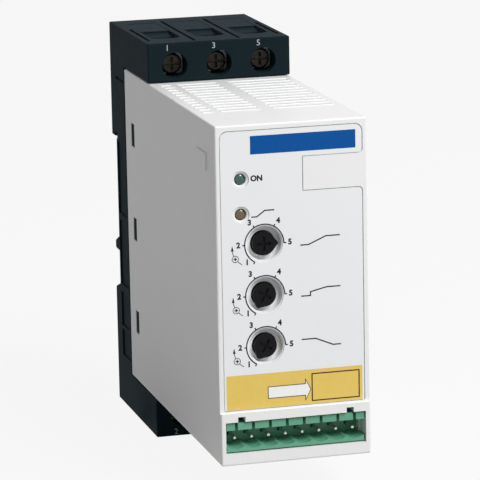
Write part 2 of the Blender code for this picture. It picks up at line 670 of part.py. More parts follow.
def cover_side_outline():
    """Side view of the cover: the front below the label stands a little proud."""
    return [
        (COVER_REAR_Y, COVER_TOP_Z), (COVER_FRONT_Y, COVER_TOP_Z),
        (COVER_FRONT_Y, LOWER_STEP_Z), (FRONT_Y, LOWER_STEP_Z),
        (FRONT_Y, COVER_BOTTOM_Z), (COVER_REAR_Y, COVER_BOTTOM_Z),
    ]


def round_cover(mesh):
    """Round the outer edges of the cover, but leave the step on its front sharp."""
    bm = bmesh.new()
    bm.from_mesh(mesh)
    outer_edges = []
    for edge in bm.edges:
        at_step = all(abs(end.co.z - LOWER_STEP_Z) < POINTS_TOUCH for end in edge.verts)
        if edge.is_convex and not at_step and edge.calc_face_angle() > SHARP_ANGLE:
            outer_edges.append(edge)
    bmesh.ops.bevel(bm, geom=outer_edges, offset=COVER_EDGE_RADIUS, segments=3, profile=0.5,
                    affect="EDGES", clamp_overlap=True)
    bm.to_mesh(mesh)
    bm.free()


def label_outline(shrink):
    """Front view of the label, with the marker pad left out of its right side."""
    left = -WIDTH / 2 + LABEL_MARGIN_SIDE + shrink
    right = WIDTH / 2 - LABEL_MARGIN_SIDE - shrink
    top = COVER_TOP_Z - LABEL_MARGIN_TOP - shrink
    bottom = COVER_TOP_Z - LABEL_MARGIN_TOP - LABEL_HEIGHT + shrink
    pad_left = WIDTH / 2 - LABEL_MARGIN_SIDE - MARKER_PAD_WIDTH - shrink
    pad_top = COVER_TOP_Z - MARKER_PAD_TOP + shrink
    pad_bottom = COVER_TOP_Z - MARKER_PAD_TOP - MARKER_PAD_HEIGHT - shrink
    corners = [(left, bottom), (right, bottom), (right, pad_bottom), (pad_left, pad_bottom),
               (pad_left, pad_top), (right, pad_top), (right, top), (left, top)]
    radii = [LABEL_LOWER_CORNER_RADIUS, LABEL_LOWER_CORNER_RADIUS, MARKER_PAD_RADIUS, 0, 0,
             MARKER_PAD_RADIUS, LABEL_CORNER_RADIUS, LABEL_CORNER_RADIUS]
    return rounded(corners, radii)


def louvre_cuts():
    """Rows of slots through the top and the bottom of the cover."""
    cuts = []
    rises = (COVER_HEIGHT / 2 - COVER_WALL - CUT_MARGIN / 2, COVER_HEIGHT / 2 + CUT_MARGIN)
    for _, height in above_and_below():
        for row in range(LOUVRE_ROWS):
            rear = BLOCK_FRONT_Y - LOUVRE_FIRST - LOUVRE_PITCH * row
            for left, right in LOUVRE_COLUMNS:
                cuts.append(mirrored_box("louvre", (left, right), (rear - LOUVRE_SLOT, rear),
                                         rises, height))
    return cuts


def front_cuts():
    """The label recess, lamp holes, knob wells and header window."""
    before = COVER_FRONT_Y - CUT_MARGIN
    behind = COVER_INNER_FRONT_Y + WELL_FLOOR_THICKNESS + CUT_MARGIN
    cuts = [add_outline("label_recess", label_outline(0.0), "XZ", before,
                        COVER_FRONT_Y + LABEL_RECESS)]
    for z in LAMP_ZS:
        cuts.append(add_rod("lamp_hole", LAMP_HOLE_RADIUS, (LAMP_X, before, z),
                            (LAMP_X, behind, z)))
        cuts.append(add_rod("lamp_rim", LAMP_HOLE_RADIUS + 2 * LAMP_HOLE_RIM,
                            (LAMP_X, COVER_FRONT_Y + LABEL_RECESS - LAMP_HOLE_RIM, z),
                            (LAMP_X, COVER_FRONT_Y + LABEL_RECESS + LAMP_HOLE_RIM, z),
                            end_radius=LAMP_HOLE_RADIUS))
    for z in KNOB_ZS:
        slope = (WELL_RADIUS - WELL_FLOOR_RADIUS) / WELL_DEPTH
        cuts.append(add_rod("knob_well", WELL_RADIUS + slope * CUT_MARGIN, (KNOB_X, before, z),
                            (KNOB_X, COVER_FRONT_Y + WELL_DEPTH, z),
                            end_radius=WELL_FLOOR_RADIUS, segments=40))
        cuts.append(add_rod("knob_hole", KNOB_RADIUS + KNOB_HOLE_CLEARANCE,
                            (KNOB_X, COVER_FRONT_Y, z), (KNOB_X, behind, z), segments=32))
    half_width = HEADER_WIDTH / 2 + HEADER_WINDOW_MARGIN
    half_height = HEADER_HEIGHT / 2 + HEADER_WINDOW_MARGIN
    cuts.append(add_box("header_window", (-half_width, FRONT_Y - CUT_MARGIN, HEADER_Z - half_height),
                        (half_width, behind, HEADER_Z + half_height)))
    notch_x = WIDTH / 2 - HEADER_NOTCH_FROM_SIDE
    for side in (1, -1):
        x_low, x_high = span(side * (notch_x - HEADER_NOTCH_WIDTH / 2),
                             side * (notch_x + HEADER_NOTCH_WIDTH / 2))
        cuts.append(add_box("header_notch", (x_low, FRONT_Y - CUT_MARGIN, HEADER_Z),
                            (x_high, behind, HEADER_Z + half_height + HEADER_NOTCH_HEIGHT)))
    return cuts


def snap_slot_cuts():
    """Slots in the sides of the cover for the lugs of the base."""
    cuts = []
    rear = COVER_REAR_Y - SNAP_SLOT_FROM_REAR
    for side in (1, -1):
        x_low, x_high = span(side * (COVER_INNER_X - FIT_GAP), side * (WIDTH / 2 + CUT_MARGIN))
        for row in (-1, 0, 1):
            z = MIDDLE_Z + row * SNAP_PITCH
            cuts.append(add_box("snap_slot", (x_low, rear - SNAP_SLOT_WIDTH, z - SNAP_SLOT_HEIGHT / 2),
                                (x_high, rear, z + SNAP_SLOT_HEIGHT / 2)))
    return cuts


def make_cover():
    cover = add_outline("front_cover", cover_side_outline(), "YZ", -WIDTH / 2, WIDTH / 2, PARTS)
    round_cover(cover.data)
    inside = add_box("cover_inside", (-COVER_INNER_X, COVER_INNER_FRONT_Y, COVER_INNER_BOTTOM_Z),
                     (COVER_INNER_X, COVER_REAR_Y + CUT_MARGIN, COVER_INNER_TOP_Z))
    combine(cover, [inside], "DIFFERENCE")
    boss_radius = WELL_FLOOR_RADIUS + WELL_BOSS_WALL
    boss_back = COVER_FRONT_Y + WELL_DEPTH + WELL_FLOOR_THICKNESS
    bosses = [add_rod("well_boss", boss_radius, (KNOB_X, COVER_FRONT_Y + LABEL_RECESS + FIT_GAP, z),
                      (KNOB_X, boss_back, z), segments=24) for z in KNOB_ZS]
    pad_y = COVER_FRONT_Y + SIDE_PAD_FROM_FRONT
    pad_z = COVER_TOP_Z - SIDE_PAD_BELOW_TOP
    pad = add_box("side_pad", (-WIDTH / 2 - SIDE_PAD_PROUD, pad_y, pad_z - SIDE_PAD_HEIGHT),
                  (-COVER_INNER_X - COVER_WALL / 2, pad_y + SIDE_PAD_LENGTH, pad_z))
    combine(cover, bosses + [pad], "UNION")
    combine(cover, louvre_cuts() + front_cuts() + snap_slot_cuts(), "DIFFERENCE")
    finish(cover, WHITE)


# Printed label film on the front

def make_label():
    back = COVER_FRONT_Y + LABEL_RECESS - LABEL_SEAT_GAP
    front = back - LABEL_THICKNESS
    label = add_outline("front_label", label_outline(LABEL_EDGE_GAP), "XZ", front, back, PARTS)
    holes = []
    for z in LAMP_ZS:
        holes.append(add_rod("label_lamp_hole",
                             LAMP_HOLE_RADIUS + 2 * LAMP_HOLE_RIM + LABEL_HOLE_MARGIN,
                             (LAMP_X, front - CUT_MARGIN, z), (LAMP_X, back + CUT_MARGIN, z)))
    for z in KNOB_ZS:
        holes.append(add_rod("label_well_hole", WELL_RADIUS + LABEL_HOLE_MARGIN,
                             (KNOB_X, front - CUT_MARGIN, z), (KNOB_X, back + CUT_MARGIN, z),
                             segments=40))
    combine(label, holes, "DIFFERENCE")
    finish(label, LABEL_WHITE)


# Signal lamps

def make_lamps():
    """Each light pipe is a rod with a domed end just behind the label."""
    front = COVER_FRONT_Y + LABEL_RECESS
    length = CONTROL_BOARD_Y - FIT_GAP - front
    dome = [(LAMP_RADIUS * math.sin(a), -LAMP_DOME_HEIGHT * (1 - math.cos(a)))
            for a in (math.pi / 2 * i / 4 for i in range(5))]
    profile = dome + [(LAMP_RADIUS, -length), (0.0, -length)]
    for name, z, material in zip(("power_lamp", "run_lamp"), LAMP_ZS, (LAMP_GREEN, LAMP_AMBER)):
        lamp = add_turned(name, profile, steps=16, group=PARTS)
        lamp.location = (LAMP_X, front, z)
        lamp.rotation_euler = (math.pi / 2, 0.0, 0.0)
        finish(lamp, material)


# Knobs on their adjusting resistors

def knob_outline():
    """Front view of a knob: a disc with a pointer nose towards +X."""
    nose = KNOB_NOSE_REACH - KNOB_NOSE_TIP_RADIUS
    open_angle = math.acos((KNOB_RADIUS - KNOB_NOSE_TIP_RADIUS) / nose)
    steps = 28
    points = []
    for i in range(steps + 1):
        angle = open_angle + (2 * math.pi - 2 * open_angle) * i / steps
        points.append((KNOB_RADIUS * math.cos(angle), KNOB_RADIUS * math.sin(angle)))
    tip_steps = 4
    for i in range(tip_steps + 1):
        angle = -open_angle + 2 * open_angle * i / tip_steps
        points.append((nose + KNOB_NOSE_TIP_RADIUS * math.cos(angle),
                       KNOB_NOSE_TIP_RADIUS * math.sin(angle)))
    return points


def knob_mesh():
    """One knob, its front face at Y 0 and its axis along Y."""
    knob = add_outline("knob_shape", knob_outline(), "XZ", 0.0, KNOB_RIM_THICKNESS, PARTS)
    knob.data.transform(Matrix.Translation(knob.location))
    knob.location = (0.0, 0.0, 0.0)
    neck_length = WELL_DEPTH + WELL_FLOOR_THICKNESS - KNOB_RECESS + FIT_GAP
    neck = add_rod("knob_neck", KNOB_RADIUS - KNOB_NOSE_TIP_RADIUS,
                   (0.0, KNOB_RIM_THICKNESS / 2, 0.0), (0.0, neck_length, 0.0), segments=28)
    stem = add_rod("knob_stem", KNOB_STEM_RADIUS, (0.0, KNOB_RIM_THICKNESS, 0.0),
                   (0.0, neck_length + KNOB_STEM_LENGTH, 0.0), segments=20)
    combine(knob, [neck, stem], "UNION")
    half, arm = KNOB_CROSS_WIDTH / 2, KNOB_CROSS_LENGTH / 2
    cross = [add_box("knob_slot", (-arm, -CUT_MARGIN, -half), (arm, KNOB_CROSS_DEPTH, half)),
             add_box("knob_cross", (-half, -CUT_MARGIN, -arm),
                     (half, KNOB_CROSS_DEPTH - FIT_GAP / 2, arm))]
    combine(knob, cross, "DIFFERENCE")
    mesh = bake(knob)
    bpy.data.objects.remove(knob, do_unlink=True)
    mesh.name = "knob"
    return mesh


def make_knobs():
    names = ("start_time_knob", "start_level_knob", "stop_time_knob")
    mesh = knob_mesh()
    knob_y = COVER_FRONT_Y + KNOB_RECESS
    for name, z, degrees in zip(names, KNOB_ZS, KNOB_POINTER_ANGLES):
        knob = add_object(name, mesh, PARTS, (KNOB_X, knob_y, z))
        knob.rotation_euler = (0.0, -math.radians(degrees), 0.0)
        finish(knob, KNOB_BLACK)


def make_pots():
    """Adjusting resistors on the control board, each with a hub that takes a knob's stem."""
    names = ("start_time_pot", "start_level_pot", "stop_time_pot")
    front = COVER_FRONT_Y + WELL_DEPTH + WELL_FLOOR_THICKNESS + 2 * FIT_GAP
    back = CONTROL_BOARD_Y - FIT_GAP
    half = POT_SIZE / 2
    for name, z in zip(names, KNOB_ZS):
        pot = add_box(name, (KNOB_X - half, front, z - half), (KNOB_X + half, back, z + half), PARTS)
        round_edges(pot, BOARD_PART_CHAMFER, segments=1)
        hub_depth = KNOB_STEM_LENGTH + FIT_GAP
        hub = add_rod("pot_hub", KNOB_STEM_RADIUS + KNOB_HOLE_CLEARANCE,
                      (KNOB_X, front - CUT_MARGIN, z), (KNOB_X, front + hub_depth, z), segments=20)
        combine(pot, [hub], "DIFFERENCE")
        finish(pot, MOULD_GREY)


# Plug-in header with its pins

def header_xs():
    """Places of the pins along the header."""
    return [(i - (HEADER_POLES - 1) / 2) * HEADER_PITCH for i in range(HEADER_POLES)]


HEADER_ROOM_TOP_Z = HEADER_Z + HEADER_HEIGHT / 2 - HEADER_UPPER_WALL
HEADER_ROOM_BOTTOM_Z = HEADER_Z - HEADER_HEIGHT / 2 + HEADER_LOWER_WALL
HEADER_PIN_Z = (HEADER_ROOM_TOP_Z + HEADER_ROOM_BOTTOM_Z) / 2
HEADER_FLOOR_Y = HEADER_BACK_Y - HEADER_FLOOR


def pole_trough(x):
    """Front view of the hollow in the header's lower wall, below one pole."""
    half = (HEADER_PITCH - HEADER_RIDGE_WIDTH) / 2
    radius = (half ** 2 + HEADER_TROUGH_DEPTH ** 2) / (2 * HEADER_TROUGH_DEPTH)
    open_angle = math.asin(half / radius)
    points = []
    for i in range(HEADER_TROUGH_STEPS + 1):
        angle = open_angle * (2 * i / HEADER_TROUGH_STEPS - 1)
        points.append((x + radius * math.sin(angle),
                       HEADER_ROOM_BOTTOM_Z + radius * (1 - math.cos(angle))))
    return points + [(x + half, HEADER_PIN_Z), (x - half, HEADER_PIN_Z)]


def make_header():
    """The plug's room runs out through both ends of the header."""
    half = HEADER_WIDTH / 2
    header = add_box("control_header", (-half, HEADER_FRONT_Y, HEADER_Z - HEADER_HEIGHT / 2),
                     (half, HEADER_BACK_Y, HEADER_Z + HEADER_HEIGHT / 2), PARTS)
    room_half = half + CUT_MARGIN
    ridge_z = HEADER_ROOM_BOTTOM_Z + HEADER_TROUGH_DEPTH
    cuts = [add_box("header_room", (-room_half, HEADER_FRONT_Y - CUT_MARGIN, ridge_z),
                    (room_half, HEADER_FLOOR_Y, HEADER_ROOM_TOP_Z))]
    hole_half = HEADER_PIN_SIZE / 2 + FIT_GAP
    for x in header_xs():
        cuts.append(add_outline("pole_trough", pole_trough(x), "XZ",
                                HEADER_FRONT_Y - CUT_MARGIN, HEADER_FLOOR_Y))
        cuts.append(add_box("coding_slot",
                            (x - HEADER_SLOT_WIDTH / 2, HEADER_FRONT_Y - CUT_MARGIN,
                             HEADER_ROOM_TOP_Z - FIT_GAP),
                            (x + HEADER_SLOT_WIDTH / 2, HEADER_FRONT_Y + HEADER_SLOT_DEPTH,
                             HEADER_Z + HEADER_HEIGHT / 2 + CUT_MARGIN)))
        cuts.append(add_box("pin_hole", (x - hole_half, HEADER_FLOOR_Y - CUT_MARGIN,
                                         HEADER_PIN_Z - hole_half),
                            (x + hole_half, HEADER_BACK_Y + CUT_MARGIN, HEADER_PIN_Z + hole_half)))
    combine(header, cuts, "DIFFERENCE")
    finish(header, GREEN_PLASTIC)


def make_header_pins():
    half = HEADER_PIN_SIZE / 2
    front = HEADER_FLOOR_Y - HEADER_PIN_LENGTH
    back = CONTROL_BOARD_Y + BOARD_THICKNESS + HEADER_PIN_TAIL
    for number, x in enumerate(header_xs(), start=1):
        pin = add_box(f"header_pin_{number}", (x - half, front, HEADER_PIN_Z - half),
                      (x + half, back, HEADER_PIN_Z + half), PARTS)
        round_edges(pin, HEADER_PIN_CHAMFER, segments=1)
        finish(pin, TINNED_COPPER)


# Terminals: strip, clamp washer and screw of each pole

def strip_path(height):
    """Side view of a strip's middle line, from its clamping face back and down to the board."""
    face_y = STRIP_FACE_Y + STRIP_THICKNESS / 2
    tip = height(CHAMBER_RISE + CHAMBER_HEIGHT - FIT_GAP)
    low = height(STRIP_RISE)
    dropped = height(STRIP_RISE - STRIP_DROP)
    corners = [(face_y, tip), (face_y, low), (STRIP_BACK_Y, low), (STRIP_BACK_Y, dropped),
               (COLLAR_FRONT_Y, dropped)]
    bend = STRIP_BEND_RADIUS
    return rounded(corners, [0, bend, bend, bend, 0], closed=False)


def make_strip(name, x, height):
    path = strip_path(height)
    bm = bmesh.new()
    rows = [[bm.verts.new((side * STRIP_WIDTH / 2, y, z)) for side in (-1, 1)] for y, z in path]
    for row, following in zip(rows, rows[1:]):
        bm.faces.new((row[0], row[1], following[1], following[0]))
    mesh = bpy.data.meshes.new(name)
    bm.to_mesh(mesh)
    bm.free()
    strip = add_object(name, mesh, PARTS, (x, 0.0, 0.0))
    solidify = strip.modifiers.new("sheet thickness", "SOLIDIFY")
    solidify.thickness = STRIP_THICKNESS
    solidify.offset = 0.0
    solidify.use_even_offset = True
    z = height(SCREW_RISE)
    tapped = add_rod("tapped_hole", SCREW_RADIUS + SCREW_CLEARANCE,
                     (x, STRIP_FACE_Y - CUT_MARGIN, z),
                     (x, STRIP_FACE_Y + STRIP_THICKNESS + CUT_MARGIN, z), segments=14)
    combine(strip, [tapped], "DIFFERENCE")
    finish(strip, TINNED_COPPER)


def clamp_mesh():
    """Square clamp washer with two turned edges, around its own screw's axis."""
    outer = CLAMP_WIDTH / 2
    inner = outer - CLAMP_FLANGE
    section = [(-outer, 0.0), (outer, 0.0), (outer, CLAMP_THICKNESS + CLAMP_FLANGE),
               (inner, CLAMP_THICKNESS + CLAMP_FLANGE), (inner, CLAMP_THICKNESS),
               (-inner, CLAMP_THICKNESS), (-inner, CLAMP_THICKNESS + CLAMP_FLANGE),
               (-outer, CLAMP_THICKNESS + CLAMP_FLANGE)]
    clamp = add_outline("clamp_shape", section, "XY", -CLAMP_HEIGHT / 2, CLAMP_HEIGHT / 2, PARTS)
    hole = add_rod("clamp_hole", SCREW_RADIUS + SCREW_CLEARANCE, (0.0, -CUT_MARGIN, 0.0),
                   (0.0, CLAMP_THICKNESS + CUT_MARGIN, 0.0), segments=14)
    combine(clamp, [hole], "DIFFERENCE")
    mesh = bake(clamp)
    bpy.data.objects.remove(clamp, do_unlink=True)
    mesh.name = "clamp"
    return mesh


def screw_mesh():
    """Terminal screw with a crossed head, its head's front at Y 0 and its axis along Y."""
    fillet = [(SCREW_HEAD_RADIUS - SCREW_HEAD_FILLET * (1 - math.sin(a)),
               -SCREW_HEAD_FILLET * (1 - math.cos(a))) for a in (0.0, math.pi / 4, math.pi / 2)]
    tip_z = -SCREW_HEAD_HEIGHT - SCREW_LENGTH
    chamfer = SCREW_TIP_CHAMFER
    profile = [(0.0, 0.0)] + fillet + [
        (SCREW_HEAD_RADIUS, -SCREW_HEAD_HEIGHT), (SCREW_RADIUS, -SCREW_HEAD_HEIGHT),
        (SCREW_RADIUS, tip_z + chamfer), (SCREW_RADIUS - chamfer, tip_z), (0.0, tip_z)]
    screw = add_turned("screw_shape", profile, steps=16, group=PARTS)
    half, arm = SCREW_SLOT_WIDTH / 2, SCREW_HEAD_RADIUS + CUT_MARGIN
    cuts = [add_box("driver_slot", (-arm, -half, -SCREW_SLOT_DEPTH), (arm, half, CUT_MARGIN)),
            add_box("driver_cross", (-half, -SCREW_CROSS_REACH, -SCREW_SLOT_DEPTH - FIT_GAP),
                    (half, SCREW_CROSS_REACH, CUT_MARGIN))]
    combine(screw, cuts, "DIFFERENCE")
    mesh = bake(screw)
    bpy.data.objects.remove(screw, do_unlink=True)
    mesh.transform(Matrix.Rotation(math.pi / 2, 4, "X"))
    mesh.name = "terminal_screw"
    return mesh


def make_terminals():
    clamp_shape = clamp_mesh()
    screw_shape = screw_mesh()
    for sign, height in above_and_below():
        for column, x in enumerate(POLE_XS):
            number = 2 * column + (1 if sign > 0 else 2)
            z = height(SCREW_RISE)
            make_strip(f"terminal_strip_{number}", x, height)
            clamp = add_object(f"terminal_clamp_{number}", clamp_shape, PARTS, (x, CLAMP_Y, z))
            finish(clamp, NICKEL)
            screw = add_object(f"terminal_screw_{number}", screw_shape, PARTS, (x, SCREW_HEAD_Y, z))
            finish(screw, NICKEL)


# Rail latch

def make_latch():
    """A slider with a nose across the full width, and a stem that guides the spring."""
    nose = [(FIT_GAP, LATCH_STEP_Z), (RAIL_GROOVE_WIDTH, LATCH_STEP_Z),
            (RAIL_GROOVE_WIDTH, LATCH_NOSE_TOP_Z),
            (BACK_Y, LATCH_NOSE_TOP_Z - (BACK_Y - RAIL_GROOVE_WIDTH) * LATCH_NOSE_SLOPE),
            (BACK_Y, LATCH_NOSE_BOTTOM_Z + FIT_GAP),
            (BACK_Y - LATCH_NOSE_CHAMFER, LATCH_NOSE_BOTTOM_Z),
            (FIT_GAP, LATCH_NOSE_BOTTOM_Z)]
    nose_half = WIDTH / 2 - LATCH_SIDE_INSET
    latch = add_outline("rail_latch", nose, "YZ", -nose_half, nose_half, PARTS)
    plate_top = -LATCH_TOP_BELOW_RAIL_CENTRE
    plate = add_box("latch_plate",
                    (-LATCH_WIDTH / 2, -LATCH_THICKNESS - FIT_GAP, plate_top - LATCH_PLATE_LENGTH),
                    (LATCH_WIDTH / 2, -FIT_GAP, plate_top))
    shoulder = add_box("latch_shoulder",
                       (-LATCH_SHOULDER_WIDTH / 2, -LATCH_THICKNESS, LATCH_SHOULDER_Z),
                       (LATCH_SHOULDER_WIDTH / 2, LATCH_SHOULDER_REACH, LATCH_STEP_Z - FIT_GAP))
    stem = add_rod("latch_stem", LATCH_STEM_RADIUS,
                   (0.0, LATCH_STEM_Y, LATCH_SHOULDER_Z - LATCH_STEM_LENGTH),
                   (0.0, LATCH_STEM_Y, LATCH_SHOULDER_Z + FIT_GAP), axis="Z", segments=16)
    combine(latch, [plate, shoulder, stem], "UNION")
    finish(latch, BLACK)


def make_latch_spring():
    curve = bpy.data.curves.new("latch_spring", "CURVE")
    curve.dimensions = "3D"
    curve.bevel_depth = SPRING_WIRE_RADIUS
    curve.bevel_resolution = 1
    curve.use_fill_caps = True
    count = SPRING_TURNS * SPRING_POINTS_PER_TURN + 1
    spline = curve.splines.new("POLY")
    spline.points.add(count - 1)
    rise = SPRING_LENGTH - 2 * SPRING_WIRE_RADIUS
    for i, point in enumerate(spline.points):
        angle = 2 * math.pi * i / SPRING_POINTS_PER_TURN
        z = SPRING_WIRE_RADIUS + rise * i / (count - 1)
        point.co = (SPRING_RADIUS * math.cos(angle), SPRING_RADIUS * math.sin(angle), z, 1.0)
    spring = bpy.data.objects.new("latch_spring", curve)
    PARTS.objects.link(spring)
    spring.location = (0.0, LATCH_STEM_Y, SPRING_TOP_Z - SPRING_LENGTH)
    curve.materials.append(SPRING_STEEL)


# Boards and power parts inside

def make_boards():
    half = COVER_INNER_X - FIT_GAP
    low = COVER_INNER_BOTTOM_Z + FIT_GAP
    high = COVER_INNER_TOP_Z - FIT_GAP
    control = add_box("control_board", (-half, CONTROL_BOARD_Y, low),
                      (half, CONTROL_BOARD_Y + BOARD_THICKNESS, high), PARTS)
    hole_half = HEADER_PIN_SIZE / 2 + FIT_GAP
    holes = [add_box("board_hole", (x - hole_half, CONTROL_BOARD_Y - CUT_MARGIN, HEADER_PIN_Z - hole_half),
                     (x + hole_half, CONTROL_BOARD_Y + BOARD_THICKNESS + CUT_MARGIN,
                      HEADER_PIN_Z + hole_half)) for x in header_xs()]
    combine(control, holes, "DIFFERENCE")
    finish(control, BOARD_GREEN)
    power = add_box("power_board", (-half, POWER_BOARD_Y, low),
                    (half, POWER_BOARD_Y + BOARD_THICKNESS, high), PARTS)
    finish(power, BOARD_GREEN)
    driver_z = MIDDLE_Z - DRIVER_BOARD_HEIGHT / 2
    driver = add_box("driver_board",
                     (half - BOARD_THICKNESS, CONTROL_BOARD_Y + BOARD_THICKNESS + FIT_GAP, driver_z),
                     (half, POWER_BOARD_Y - FIT_GAP, driver_z + DRIVER_BOARD_HEIGHT), PARTS)
    finish(driver, BOARD_GREEN)


def make_power_parts():
    """Two thyristor modules on the power board, the heatsink on them, and the bypass relays."""
    module_back = POWER_BOARD_Y - FIT_GAP
    module_front = module_back - THYRISTOR_THICKNESS
    for name, side in (("thyristor_module_1", 1), ("thyristor_module_2", -1)):
        z_low, z_high = span(MIDDLE_Z + side * FIT_GAP, MIDDLE_Z + side * (FIT_GAP + THYRISTOR_HEIGHT))
        module = add_box(name, (-THYRISTOR_WIDTH / 2, module_front, z_low),
                         (THYRISTOR_WIDTH / 2, module_back, z_high), PARTS)
        round_edges(module, BOARD_PART_CHAMFER, segments=1)
        finish(module, MOULD_GREY)
        relay_near = HEATSINK_HEIGHT / 2 + 2 * FIT_GAP
        z_low, z_high = span(MIDDLE_Z + side * relay_near, MIDDLE_Z + side * (relay_near + RELAY_HEIGHT))
        relay = add_box(name.replace("thyristor_module", "bypass_relay"),
                        (-RELAY_WIDTH / 2, module_back - RELAY_DEPTH, z_low),
                        (RELAY_WIDTH / 2, module_back, z_high), PARTS)
        round_edges(relay, BOARD_PART_CHAMFER, segments=1)
        finish(relay, RELAY_BLUE)

    plate_back = module_front - FIT_GAP
    plate_front = plate_back - HEATSINK_PLATE
    fin_front = plate_front - HEATSINK_FIN_LENGTH
    half = HEATSINK_WIDTH / 2
    fin_pitch = (HEATSINK_WIDTH - HEATSINK_FIN_THICKNESS) / (HEATSINK_FINS - 1)
    comb = [(-half, plate_back)]
    for i in range(HEATSINK_FINS):
        left = -half + i * fin_pitch
        right = left + HEATSINK_FIN_THICKNESS
        comb += [(left, fin_front), (right, fin_front)]
        if i < HEATSINK_FINS - 1:
            comb += [(right, plate_front), (left + fin_pitch, plate_front)]
    comb.append((half, plate_back))
    heatsink = add_outline("heatsink", comb, "XY", MIDDLE_Z - HEATSINK_HEIGHT / 2,
                           MIDDLE_Z + HEATSINK_HEIGHT / 2, PARTS)
    finish(heatsink, ALUMINIUM)


def make_supply_parts():
    """Transformer and capacitors of the supply, on the driver board."""
    seat_x = COVER_INNER_X - FIT_GAP - BOARD_THICKNESS - FIT_GAP
    y = CONTROL_BOARD_Y + BOARD_THICKNESS + 2 * CUT_MARGIN
    core = add_box("supply_transformer", (seat_x - CORE_WIDTH, y, MIDDLE_Z - CORE_HEIGHT / 2),
                   (seat_x, y + CORE_DEPTH, MIDDLE_Z + CORE_HEIGHT / 2), PARTS)
    round_edges(core, BOARD_PART_CHAMFER, segments=1)
    finish(core, MOULD_GREY)
    can_y = y + CAPACITOR_RADIUS
    for number, side in ((1, 1), (2, -1)):
        z = MIDDLE_Z + side * (CORE_HEIGHT / 2 + CAPACITOR_RADIUS + CUT_MARGIN)
        can = add_rod(f"supply_capacitor_{number}", CAPACITOR_RADIUS,
                      (seat_x - CAPACITOR_LENGTH, can_y, z), (seat_x, can_y, z), axis="X",
                      segments=24, group=PARTS)
        round_edges(can, BOARD_PART_CHAMFER, segments=1)
        finish(can, RELAY_BLUE)


make_base()
make_cover()
make_label()
make_lamps()
make_knobs()
make_pots()
make_header()
make_header_pins()
make_terminals()
make_latch()
make_latch_spring()
make_boards()
make_power_parts()
make_supply_parts()
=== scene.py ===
"""Looks of a compact soft starter for a mounting rail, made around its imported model.

Metres. +X is to the right seen from the front, +Y points back to the rail and +Z up.
"""
import math

import bmesh
import bpy
from mathutils import Euler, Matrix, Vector


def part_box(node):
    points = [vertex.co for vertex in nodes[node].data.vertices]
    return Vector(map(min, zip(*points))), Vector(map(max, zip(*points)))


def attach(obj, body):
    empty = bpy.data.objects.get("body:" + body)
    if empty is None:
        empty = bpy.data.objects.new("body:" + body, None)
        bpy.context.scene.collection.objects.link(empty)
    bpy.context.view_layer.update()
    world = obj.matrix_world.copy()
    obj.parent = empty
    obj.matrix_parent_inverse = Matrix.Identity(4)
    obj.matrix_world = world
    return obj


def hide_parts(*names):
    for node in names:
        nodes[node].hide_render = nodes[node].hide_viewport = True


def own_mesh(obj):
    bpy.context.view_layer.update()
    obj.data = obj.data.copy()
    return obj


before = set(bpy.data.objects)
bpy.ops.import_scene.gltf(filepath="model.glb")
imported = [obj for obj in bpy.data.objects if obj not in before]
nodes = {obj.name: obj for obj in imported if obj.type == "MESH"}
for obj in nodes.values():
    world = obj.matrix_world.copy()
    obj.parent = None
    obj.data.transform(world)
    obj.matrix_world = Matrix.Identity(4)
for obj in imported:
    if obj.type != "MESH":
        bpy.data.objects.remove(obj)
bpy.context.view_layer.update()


# Base and rail latch. Glass-filled polyamide 66, black with a blue cast, injection moulded.
# The tool is spark-eroded, which leaves a fine even grain and a dull sheen. The latch is the
# same material and slides in a channel across the back of the base.

def linear(code):
    """An sRGB hex colour as the linear colour that a shader takes."""
    channels = [int(code[i:i + 2], 16) / 255 for i in (0, 2, 4)]
    return [c / 12.92 if c <= 0.04045 else ((c + 0.055) / 1.055) ** 2.4 for c in channels] + [1.0]


def features(size_mm):
    """The scale at which a texture's features are about that many millimetres across."""
    return 1000.0 / size_mm


def add(tree, kind, settings=None, sockets=None):
    """Add a node, set its options, and set or link its sockets by name or number."""
    node = tree.nodes.new(kind)
    for name, value in (settings or {}).items():
        setattr(node, name, value)
    for key, value in (sockets or {}).items():
        if isinstance(value, bpy.types.NodeSocket):
            tree.links.new(value, node.inputs[key])
        else:
            node.inputs[key].default_value = value
    return node


def new_material(name, **constants):
    """A material with a plain shader, whose constant values are set on its own sockets."""
    material = bpy.data.materials.new(name)
    material.use_nodes = True
    shader = material.node_tree.nodes["Principled BSDF"]
    for socket, value in constants.items():
        shader.inputs[socket.replace("_", " ")].default_value = value
    return material, material.node_tree, shader


def drift(tree, shader, pattern, colours, gloss_pattern, gloss):
    """Let patterns take the colour from one tone to a close one, and the roughness likewise."""
    tone = add(tree, "ShaderNodeMix", {"data_type": "RGBA"},
               {0: pattern, 6: linear(colours[0]), 7: linear(colours[1])})
    tree.links.new(tone.outputs[2], shader.inputs["Base Color"])
    rough = add(tree, "ShaderNodeMapRange",
                sockets={"Value": gloss_pattern, "To Min": gloss[0], "To Max": gloss[1]})
    tree.links.new(rough.outputs["Result"], shader.inputs["Roughness"])


